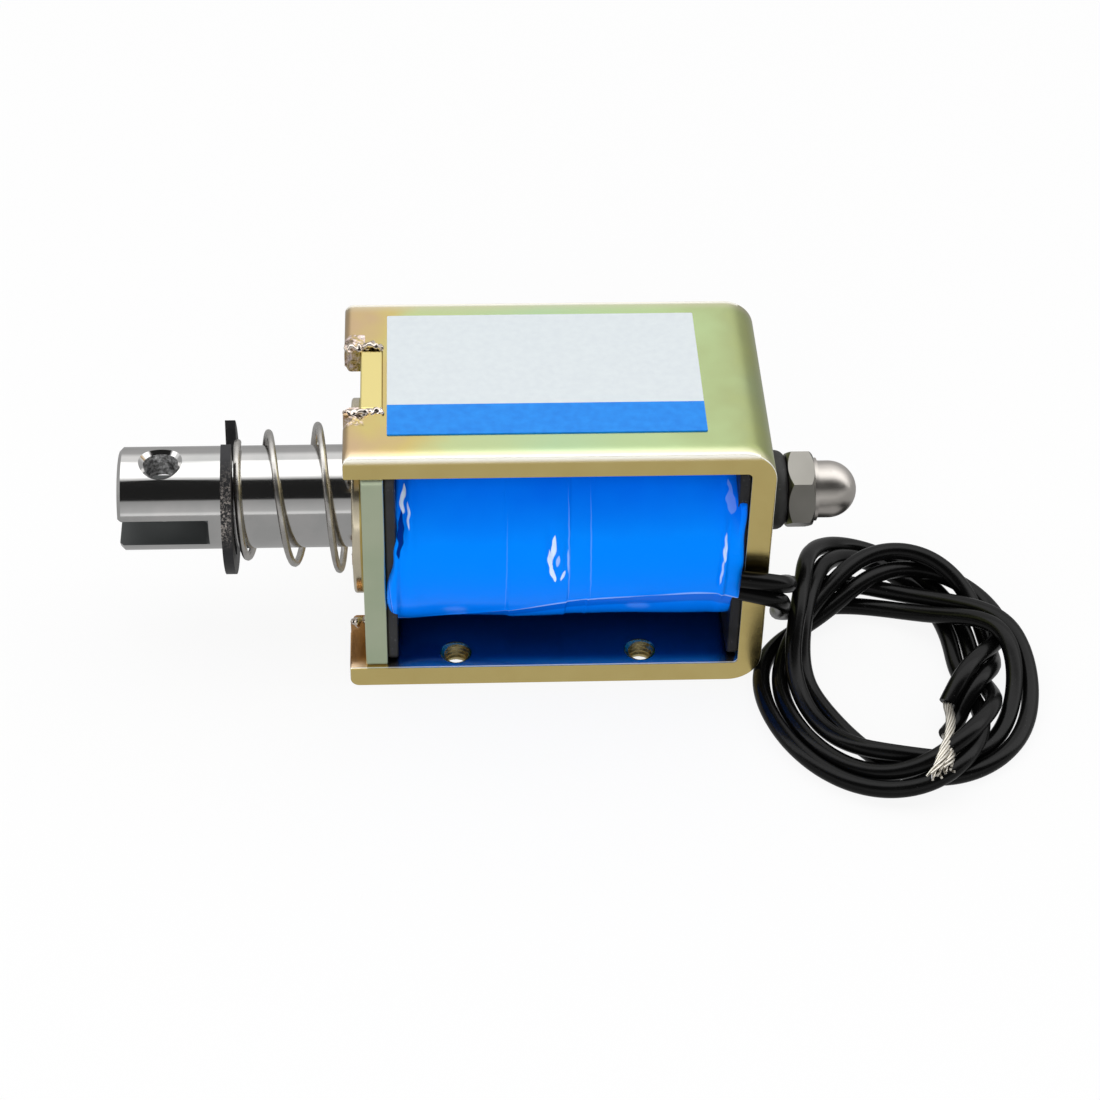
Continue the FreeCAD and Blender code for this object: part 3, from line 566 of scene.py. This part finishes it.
class Look:
    """A node material, built outward from its surface shader."""

    def __init__(self, name, colour, metallic, roughness):
        self.material = bpy.data.materials.new(name)
        self.material.use_nodes = True
        self.tree = self.material.node_tree
        self.shader = self.tree.nodes["Principled BSDF"]
        self.place = self.tree.nodes.new("ShaderNodeTexCoord").outputs["Object"]
        self.shader.inputs["Base Color"].default_value = colour
        self.shader.inputs["Metallic"].default_value = metallic
        self.shader.inputs["Roughness"].default_value = roughness

    def node(self, kind, inputs, **settings):
        """New node with its inputs set or linked."""
        made = self.tree.nodes.new(kind)
        for key, value in settings.items():
            setattr(made, key, value)
        for key, value in inputs.items():
            self.feed(made.inputs[key], value)
        return made

    def feed(self, socket, value):
        """Sets a socket, or links it."""
        if isinstance(value, bpy.types.NodeSocket):
            self.tree.links.new(value, socket)
        else:
            socket.default_value = value

    def noise(self, size, detail=3, stretch=(1, 1, 1), rough=0.5):
        """Cloudy pattern whose blotches are about as large as size."""
        scaled = self.node("ShaderNodeMapping",
                           {"Vector": self.place, "Scale": Vector(stretch) / (size * MM)})
        made = self.node("ShaderNodeTexNoise", {"Vector": scaled.outputs[0], "Scale": 1.0,
                                                "Detail": detail, "Roughness": rough})
        return made.outputs[0]

    def ramp(self, value, *stops):
        """Colours along a value."""
        made = self.node("ShaderNodeValToRGB", {"Fac": value})
        line = made.color_ramp
        for position, colour in stops[2:]:
            line.elements.new(position)
        for element, (position, colour) in zip(line.elements, stops):
            element.position = position
            element.color = colour if isinstance(colour, tuple) else (colour, colour, colour, 1)
        return made.outputs[0]

    def sum(self, operation, first, second=0.0, third=0.0):
        """Arithmetic on values."""
        made = self.node("ShaderNodeMath", {0: first, 1: second, 2: third}, operation=operation)
        return made.outputs[0]

    def mix(self, share, first, second):
        """Blend of two colours."""
        made = self.node("ShaderNodeMix", {"Factor": share}, data_type="RGBA")
        self.feed(made.inputs[6], first)
        self.feed(made.inputs[7], second)
        return made.outputs[2]

    def rise(self, value, low, high):
        """Smooth step from nothing to one."""
        made = self.node("ShaderNodeMapRange", {"Value": value, "From Min": low, "From Max": high},
                         interpolation_type="SMOOTHSTEP")
        return made.outputs[0]

    def within(self, value, low, high, soft):
        """One between two values, with soft ends."""
        past = self.rise(value, low - soft, low + soft)
        return self.sum("MULTIPLY", past, self.rise(value, high + soft, high - soft))

    def streak(self, start, end, half):
        """Wavering line on the front between two places in x and z, running out at both ends."""
        lean = (end[0] - start[0]) / (end[1] - start[1])
        off = self.sum("MULTIPLY_ADD", self.axis("Z"), -lean, self.axis("X"))
        shift = lean * start[1] - start[0] - 1.2 * half
        waver = self.sum("MULTIPLY_ADD", self.noise(1.1, 0), 2.4 * half, shift)
        gap = self.sum("ABSOLUTE", self.sum("ADD", off, waver))
        middle = (start[1] + end[1]) / 2
        tall = start[1] - end[1]
        along = self.sum("MULTIPLY_ADD", self.axis("Z"), 2 / tall, -2 * middle / tall)
        taper = self.sum("POWER", self.sum("ABSOLUTE", along), 3.0)
        width = self.sum("MULTIPLY_ADD", taper, -half, half)
        line = self.rise(self.sum("SUBTRACT", width, gap), -0.04, 0.05)
        return self.sum("MULTIPLY", line, self.sum("LESS_THAN", self.axis("Y"), 0.0))

    def axis(self, name):
        """One coordinate of the place, in millimetres."""
        parts = self.node("ShaderNodeSeparateXYZ", {0: self.place})
        return self.sum("MULTIPLY", parts.outputs[name], 1 / MM)

    def off_axis(self):
        """Distance from the plunger's axis, in millimetres."""
        low = self.sum("SUBTRACT", self.axis("Z"), AXIS_Z)
        square = self.sum("MULTIPLY_ADD", low, low, self.sum("POWER", self.axis("Y"), 2.0))
        return self.sum("SQRT", square)

    def colour(self, value):
        """Sets or links the base colour."""
        self.feed(self.shader.inputs["Base Color"], value)

    def roughness(self, value, low, high):
        """Roughness that varies between two values."""
        self.feed(self.shader.inputs["Roughness"], self.sum("MULTIPLY_ADD", value, high - low, low))

    def specular(self, value):
        """Strength of the plain reflection."""
        self.feed(self.shader.inputs["Specular IOR Level"], value)

    def bump(self, value, depth):
        """Fine relief, its depth in millimetres."""
        before = self.shader.inputs["Normal"].links
        made = self.node("ShaderNodeBump", {"Height": value, "Distance": depth * MM, "Strength": 1.0})
        if before:
            self.feed(made.inputs["Normal"], before[0].from_socket)
        self.feed(self.shader.inputs["Normal"], made.outputs[0])


def plate_look():
    """Zinc of the end plate: yellow on its tabs and grey green along its cut edge."""
    look = Look("yellow_zinc_plate", linear(200, 200, 150), 1.0, 0.3)
    cloud = look.noise(6, 2)
    faces = look.ramp(cloud, (0.35, linear(224, 208, 136)), (0.65, linear(206, 206, 150)))
    edge = look.ramp(cloud, (0.3, linear(216, 231, 197)), (0.7, linear(230, 240, 209)))
    side = look.sum("ABSOLUTE", look.axis("Y"))
    tab = look.sum("GREATER_THAN", look.axis("Z"), RIM_TOP)
    faces = look.mix(tab, faces, linear(236, 220, 148))
    look.colour(look.mix(look.sum("GREATER_THAN", side, PLATE_EDGE), faces, edge))
    look.roughness(look.noise(1.2, 4), 0.25, 0.38)
    look.bump(look.noise(0.18, 3), 0.002)
    look.bump(look.noise(5, 1), 0.02)
    return look


def yoke_look():
    """Yellow passivated zinc that turns green, yellow and pink along the frame, with rolled edges, and with
    light painted in: a pale highlight along the rolled rims, a brown reflection on the lower ear, a dark
    blue reflection and shade inside the lower arm, and glints on the chisel-torn metal by the notches.
    """
    look = Look("yellow_zinc", linear(200, 214, 158), 1.0, 0.25)
    drift = look.sum("MULTIPLY_ADD", look.noise(6, 2), 0.3, -0.15)
    along = look.sum("ADD", look.sum("MULTIPLY_ADD", look.axis("X"), 1 / 40, 0.4825), drift)
    tint = look.ramp(along, (0.0, linear(208, 180, 140)), (0.1, linear(214, 194, 126)),
                     (0.22, linear(200, 212, 156)), (0.5, linear(188, 214, 168)),
                     (0.75, linear(192, 213, 158)), (0.9, linear(180, 192, 138)),
                     (1.0, linear(186, 194, 126)))
    side = look.sum("ABSOLUTE", look.axis("Y"))
    height = look.axis("Z")
    gold = look.mix(look.noise(3, 3), (0.88, 0.68, 0.25, 1), (0.98, 0.8, 0.33, 1))
    tint = look.mix(look.sum("GREATER_THAN", side, FRONT_FACE), tint, gold)
    # Painted brown reflection of the seat and plunger on the inner face of the lower ear
    outer = look.sum("LESS_THAN", look.axis("X"), LOWER_EAR)
    ear_painted_reflection = look.sum("MULTIPLY", look.sum("LESS_THAN", height, LOWER_ARM), outer)
    ear_painted_reflection = look.sum("MULTIPLY", ear_painted_reflection, look.sum("LESS_THAN", side, EDGE_FACE))
    tint = look.mix(ear_painted_reflection, tint, linear(200, 152, 100))
    # Painted shade and dark blue reflection of the tape inside the lower arm
    under_painted_shade = look.sum("MULTIPLY", look.within(height, PLATE - 0.05, PLATE + 0.3, 0.04),
                     look.within(look.axis("X"), SHADE_START, SHADE_END, 0.1))
    under_painted_shade = look.sum("MULTIPLY", under_painted_shade, look.sum("LESS_THAN", side, EDGE_FACE))
    tint = look.mix(under_painted_shade, tint, (0.12, 0.15, 0.22, 1))
    # Metal torn by the staking chisel by the notches, painted pale as its glints as well
    staked = look.sum("MULTIPLY", look.sum("LESS_THAN", side, STAKED_HALF),
                      look.sum("GREATER_THAN", height, STAKED_BOTTOM))
    staked = look.sum("MULTIPLY", staked, look.sum("LESS_THAN", look.axis("X"), STAKED_END))
    torn_and_glinting = look.rise(look.noise(0.7, 4, rough=0.7), 0.42, 0.6)
    tint = look.mix(look.sum("MULTIPLY", staked, torn_and_glinting), tint, linear(246, 226, 220))
    # Painted pale sheen over the rolled edges of the arms
    short = look.sum("LESS_THAN", side, FRONT_FACE)
    painted_roll_sheen = look.sum("MULTIPLY", look.rise(side, ROLL_SHEEN_START, ROLL_SHEEN_END), short)
    tint = look.mix(look.sum("MULTIPLY", painted_roll_sheen, 0.55), tint, linear(216, 206, 186))
    # Painted white highlight along the rolled rims, where the metal turns mostly diffuse
    top_rim_highlight = look.sum("MULTIPLY", look.rise(side, RIM_HIGHLIGHT_START, RIM_HIGHLIGHT_END), short)
    top_rim_highlight = look.sum("MULTIPLY", top_rim_highlight, look.sum("GREATER_THAN", height, RIM_TOP))
    face_rim_highlight = look.sum("MULTIPLY", look.sum("GREATER_THAN", side, FRONT_FACE),
                        look.rise(height, TOP - 0.75, TOP - 0.1))
    rim = look.sum("MAXIMUM", look.within(side, RIM_HIGHLIGHT_END, FRONT_FACE - 0.02, 0.03),
                   look.sum("MAXIMUM", top_rim_highlight, face_rim_highlight))
    look.colour(look.mix(rim, tint, linear(253, 250, 238)))
    look.feed(look.shader.inputs["Metallic"], look.sum("MULTIPLY_ADD", rim, -0.75, 1.0))
    look.roughness(look.noise(1.2, 4), 0.17, 0.3)
    past = look.sum("MULTIPLY_ADD", look.axis("Y"), -1 / ROLL_WIDTH, -ROLL_START / ROLL_WIDTH)
    rolled = look.sum("POWER", look.sum("MAXIMUM", past, 0.0), 2.0)
    look.bump(look.sum("MULTIPLY", rolled, -1.0), ROLL_DEPTH)
    look.bump(look.noise(0.18, 3), 0.002)
    look.bump(look.noise(5, 1), 0.02)
    look.bump(look.sum("MULTIPLY", staked, look.noise(0.8, 3)), 0.2)
    return look


def tape_look():
    """Glossy vinyl tape with light painted in: shade darker towards its top, a highlight along the lap with
    a shadow below it, pale streaks as glints over its creases and dent, and shade in a slit.
    """
    look = Look("blue_vinyl_tape", linear(0, 122, 250), 0.0, 0.2)
    # Painted shade: darker towards the top, under the frame's top arm
    drift = look.sum("MULTIPLY_ADD", look.noise(5, 2), 0.12, -0.06)
    level = look.sum("ADD", look.sum("MULTIPLY", look.axis("Z"), 1 / LAP_TALL), drift)
    tone = look.ramp(level, (0.25, linear(0, 124, 252)), (0.5, linear(0, 130, 255)),
                     (0.64, linear(0, 132, 255)), (0.78, linear(0, 112, 247)), (0.9, linear(0, 90, 236)))
    lap = look.node("ShaderNodeFloatCurve", {"Value": look.sum("MULTIPLY_ADD", look.axis("X"),
                                                               1 / LAP_SPAN, LAP_FROM / LAP_SPAN)})
    line = lap.mapping.curves[0]
    for place, height in LAP_LINE:
        line.points.new((place + LAP_FROM) / LAP_SPAN, height / LAP_TALL)
    for end in (line.points[0], line.points[-1]):
        end.location = (end.location[0], 10 / LAP_TALL)
    line_z = look.sum("MULTIPLY", lap.outputs[0], float(LAP_TALL))
    below = look.sum("SUBTRACT", line_z, look.axis("Z"))
    shadow = look.sum("MULTIPLY", look.within(below, 0.25, 1.6, 0.2), 0.55)
    tone = look.mix(shadow, tone, linear(0, 70, 190))
    # Painted highlights: a pale line along the lap's edge, and pale streaks standing for glints
    pale = look.sum("MULTIPLY", look.within(below, -0.12, 0.1, 0.1), 0.35)
    for start, end, half, share in TAPE_GLINTS:
        pale = look.sum("MAXIMUM", pale, look.sum("MULTIPLY", look.streak(start, end, half), share))
    tone = look.mix(pale, tone, linear(226, 240, 255))
    # Painted shade in the dark slit beside the left flange
    look.colour(look.mix(look.streak(*TAPE_SLIT_SHADE), tone, linear(0, 40, 130)))
    look.specular(0.2)
    look.feed(look.shader.inputs["Specular Tint"], (0.08, 0.6, 1, 1))
    look.roughness(look.noise(3, 2), 0.12, 0.22)
    look.bump(look.noise(3, 2, (1, 0.25, 0.25)), 0.008)
    look.bump(look.noise(0.3, 2), 0.0008)
    return look


def label_look():
    """Bare pale film with a plain blue band along its front."""
    look = Look("label_film", linear(226, 228, 230), 0.0, 0.35)
    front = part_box("label")[0][1] / MM
    band = look.sum("LESS_THAN", look.axis("Y"), front + LABEL_BAND)
    mottle = look.ramp(look.noise(0.7, 3), (0.3, linear(214, 221, 225)), (0.7, linear(219, 226, 229)))
    blue = look.ramp(look.noise(0.8, 3), (0.3, linear(8, 128, 228)), (0.7, linear(22, 142, 238)))
    look.colour(look.mix(band, mottle, blue))
    look.specular(0.3)
    look.roughness(look.noise(0.6, 3), 0.28, 0.42)
    look.bump(look.noise(0.12, 2), 0.001)
    return look


def plunger_look():
    """Bright plating over fine turning marks, with painted shade in the slot, and a rough cross hole
    speckled pale and dark as painted glints.
    """
    look = Look("plated_steel", (0.62, 0.61, 0.6, 1), 1.0, 0.1)
    shine = look.ramp(look.noise(3, 3), (0.35, (0.6, 0.6, 0.59, 1)), (0.65, (0.66, 0.65, 0.64, 1)))
    lean = math.tan(math.radians(PLUNGER_TURN))
    low = look.sum("SUBTRACT", look.axis("Z"), AXIS_Z)
    up = look.sum("MULTIPLY_ADD", look.axis("Y"), -lean, low)
    across = look.sum("MULTIPLY_ADD", low, lean, look.axis("Y"))
    from_end = look.sum("SUBTRACT", look.axis("X"), PLUNGER_END)
    # Painted shade: the slot is coloured near black
    in_slot = look.sum("MULTIPLY", look.sum("LESS_THAN", look.sum("ABSOLUTE", up), SLOT_HALF),
                       look.sum("LESS_THAN", from_end, SLOT_DEPTH))
    off = look.sum("SUBTRACT", from_end, PIN_FROM_END)
    reach = look.sum("SQRT", look.sum("MULTIPLY_ADD", off, off, look.sum("POWER", across, 2.0)))
    in_hole = look.sum("MULTIPLY", look.sum("LESS_THAN", reach, PIN_RADIUS),
                       look.sum("GREATER_THAN", up, 1.0))
    slot_and_hole = look.sum("MAXIMUM", in_slot, in_hole)
    # Painted glints: the rough cross hole speckled pale and dark
    torn_and_glinting = look.ramp(look.noise(0.6, 4, rough=0.7), (0.4, 0.04), (0.55, 0.3), (0.68, 0.8))
    look.colour(look.mix(in_hole, look.mix(in_slot, shine, (0.055, 0.06, 0.06, 1)), torn_and_glinting))
    look.feed(look.shader.inputs["Metallic"], look.sum("SUBTRACT", 1.0, slot_and_hole))
    grain = look.sum("MULTIPLY", look.noise(0.4, 3, (0.3, 3, 3)), 0.14)
    look.roughness(look.sum("MAXIMUM", grain, slot_and_hole), 0.06, 0.56)
    look.bump(look.noise(0.12, 2, (1, 0.02, 0.02)), 0.0005)
    look.bump(look.noise(1.5, 3), 0.002)
    return look


def clip_look():
    """Black oxide spring steel, pitted on its punched rim, with pale specks of wear there, on the upper
    front only, that also stand as painted glints.
    """
    look = Look("black_spring_steel", (0.03, 0.03, 0.032, 1), 0.6, 0.4)
    rim = look.sum("GREATER_THAN", look.off_axis(), CLIP_RIM)
    front = look.sum("MULTIPLY", look.sum("LESS_THAN", look.axis("Y"), CLIP_FRONT),
                     look.within(look.axis("Z"), *CLIP_SPECK_BAND, 1.5))
    # Pale specks of wear on the upper front of the rim, painted there as its glints too
    speck = look.ramp(look.noise(0.22, 4, rough=0.75), (0.5, 0.0), (0.62, 1.0))
    worn_and_glinting = look.sum("MULTIPLY", look.sum("MULTIPLY", rim, front), speck)
    look.colour(look.mix(worn_and_glinting, (0.03, 0.03, 0.032, 1), (0.42, 0.38, 0.35, 1)))
    look.roughness(look.noise(0.5, 3), 0.34, 0.55)
    look.bump(look.noise(0.35, 4, rough=0.7), 0.012)
    return look


def metal_look(name, colour, low, high, grain):
    """Satin metal with a slight mottle."""
    look = Look(name, colour, 1.0, low)
    darker = tuple(0.82 * value for value in colour[:3]) + (1,)
    look.colour(look.ramp(look.noise(3 * grain, 3), (0.35, darker), (0.65, colour)))
    look.roughness(look.noise(grain, 3), low, high)
    look.bump(look.noise(0.4 * grain, 3), 0.004)
    return look


def dark_look(name, colour, low, high, grain, depth, dust=0.35, specular=0.5):
    """Dark rubber or plastic with a fine grain and a share of dust."""
    look = Look(name, colour, 0.0, low)
    specks = look.ramp(look.noise(0.16, 1), (0.76, 0.0), (0.79, 1.0))
    haze = look.ramp(look.noise(4, 2), (0.3, colour), (0.8, tuple(2.2 * v for v in colour[:3]) + (1,)))
    look.colour(look.mix(look.sum("MULTIPLY", specks, dust), haze, (0.4, 0.4, 0.42, 1)))
    look.specular(specular)
    look.roughness(look.noise(grain, 3), low, high)
    look.bump(look.noise(grain, 2), depth)
    return look


def bobbin_look():
    """Black nylon with a little dust, in shade beside the web."""
    look = dark_look("black_nylon", (0.012, 0.012, 0.013, 1), 0.3, 0.45, 0.5, 0.006)
    shade = look.rise(look.axis("X"), *BOBBIN_SHADE)
    look.specular(look.sum("MULTIPLY_ADD", shade, -0.4, 0.5))
    return look


def nut_look():
    """Stainless nut, its flats a little darker than its dome as painted shade."""
    look = Look("stainless_nut", (0.5, 0.48, 0.45, 1), 1.0, 0.3)
    flats = look.sum("LESS_THAN", look.axis("X"), NUT_DOME)
    cloud = look.noise(6, 2)
    dome = look.ramp(cloud, (0.35, (0.56, 0.53, 0.49, 1)), (0.65, (0.66, 0.62, 0.58, 1)))
    # Painted shade: darker colour on the flats than on the dome
    hexagon = look.ramp(cloud, (0.35, (0.24, 0.232, 0.21, 1)), (0.65, (0.3, 0.29, 0.265, 1)))
    look.colour(look.mix(flats, dome, hexagon))
    look.roughness(look.noise(1.5, 3), 0.28, 0.38)
    look.bump(look.noise(0.8, 3), 0.004)
    return look


def dress(node, look):
    """Gives a CAD piece its finish."""
    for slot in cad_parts[node].material_slots:
        slot.material = look.material


def dress_frame_pieces():
    """Finishes of the pieces that stay as the CAD model has them."""
    dress("yoke_frame", yoke_look())
    dress("end_plate", plate_look())
    dress("spring_seat", metal_look("yellow_zinc_seat", linear(250, 238, 210), 0.15, 0.25, 1.2))
    dress("plunger", plunger_look())
    dress("e_clip", clip_look())
    dress("label", label_look())
    dress("push_rod", metal_look("stainless_rod", (0.6, 0.59, 0.56, 1), 0.2, 0.35, 0.6))
    dress("cap_nut", nut_look())
    dress("fixed_pole", metal_look("pole_steel", (0.5, 0.5, 0.5, 1), 0.2, 0.35, 0.8))
    dress("guide_sleeve", metal_look("brass_sleeve", (0.72, 0.5, 0.2, 1), 0.2, 0.35, 0.8))
    dress("coil_winding", metal_look("copper_wire", (0.7, 0.32, 0.15, 1), 0.25, 0.4, 0.5))
    dress("bobbin", bobbin_look())
    dress("rubber_washer", dark_look("black_rubber", (0.014, 0.014, 0.014, 1), 0.45, 0.65, 0.3, 0.012))


def make_floor():
    """White floor that keeps a faint shadow, and looks grey to what shines."""
    corners = np.array([[(x, y, FLOOR_LEVEL) for x in (-FLOOR_HALF, FLOOR_HALF)]
                        for y in (-FLOOR_HALF, FLOOR_HALF)])
    floor = grid_object("floor", corners, False)
    look = Look("floor", (0.85, 0.85, 0.85, 1), 0.0, 1.0)
    path = look.tree.nodes.new("ShaderNodeLightPath").outputs
    white = look.node("ShaderNodeEmission", {"Color": (1, 1, 1, 1), "Strength": 1.0})
    grey = look.node("ShaderNodeEmission", {"Color": (1, 1, 1, 1), "Strength": 0.42})
    seen = look.sum("MULTIPLY", path["Is Camera Ray"], 0.9)
    shown = look.node("ShaderNodeMixShader",
                      {0: seen, 1: look.shader.outputs[0], 2: white.outputs[0]})
    shiny = look.node("ShaderNodeMixShader",
                      {0: path["Is Glossy Ray"], 1: shown.outputs[0], 2: grey.outputs[0]})
    look.tree.links.new(shiny.outputs[0], look.tree.nodes["Material Output"].inputs[0])
    floor.data.materials.append(look.material)


def make_world():
    """Studio of soft panels: white overhead, dark behind the camera, pale along the front."""
    world = bpy.data.worlds.new("studio")
    world.use_nodes = True
    bpy.context.scene.world = world
    tree = world.node_tree
    sight = tree.nodes.new("ShaderNodeTexCoord").outputs["Generated"]
    parts = tree.nodes.new("ShaderNodeSeparateXYZ")
    tree.links.new(sight, parts.inputs[0])
    turn = tree.nodes.new("ShaderNodeMath")
    turn.operation = "ARCTAN2"
    tree.links.new(parts.outputs["Z"], turn.inputs[0])
    tree.links.new(parts.outputs["Y"], turn.inputs[1])
    share = tree.nodes.new("ShaderNodeMath")
    share.operation = "DIVIDE"
    share.inputs[1].default_value = math.pi
    tree.links.new(turn.outputs[0], share.inputs[0])
    ramp = tree.nodes.new("ShaderNodeValToRGB")
    tree.links.new(share.outputs[0], ramp.inputs[0])
    for i, (angle, level) in enumerate(STUDIO_PANELS):
        element = ramp.color_ramp.elements[i] if i < 1 else ramp.color_ramp.elements.new(angle / 180)
        element.position = angle / 180
        element.color = (level, level, level, 1)
    ramp.color_ramp.elements.remove(ramp.color_ramp.elements[-1])
    tree.links.new(ramp.outputs[0], tree.nodes["Background"].inputs[0])


def make_lamp():
    """Large soft lamp over the front, which gives its light without a reflection."""
    lamp = link(bpy.data.objects.new("lamp", bpy.data.lights.new("lamp", "AREA")))
    lamp.data.size = LAMP_SIZE
    lamp.data.energy = LAMP_ENERGY
    lamp.location = LAMP_PLACE
    lamp.rotation_euler = Vector(lamp.location).to_track_quat("Z", "Y").to_euler()
    lamp.visible_glossy = False


make_camera()
make_world()
make_lamp()
make_floor()
make_leads(dark_look("black_insulation", (0.0016, 0.0016, 0.0016, 1), 0.18, 0.28, 0.25, 0.004, dust=0.1,
                     specular=0.2).material,
           metal_look("tinned_wire", (0.8, 0.76, 0.68, 1), 0.25, 0.4, 0.3).material)
make_tape(tape_look().material)
make_spring(metal_look("spring_wire", (0.62, 0.6, 0.57, 1), 0.22, 0.36, 0.4).material)
make_threads(metal_look("thread_zinc", (0.75, 0.62, 0.32, 1), 0.2, 0.35, 0.4).material)
make_stake_beads(metal_look("staked_zinc", (0.95, 0.84, 0.74, 1), 0.14, 0.28, 0.5).material)
dress_frame_pieces()
bpy.context.scene.view_settings.view_transform = "Standard"
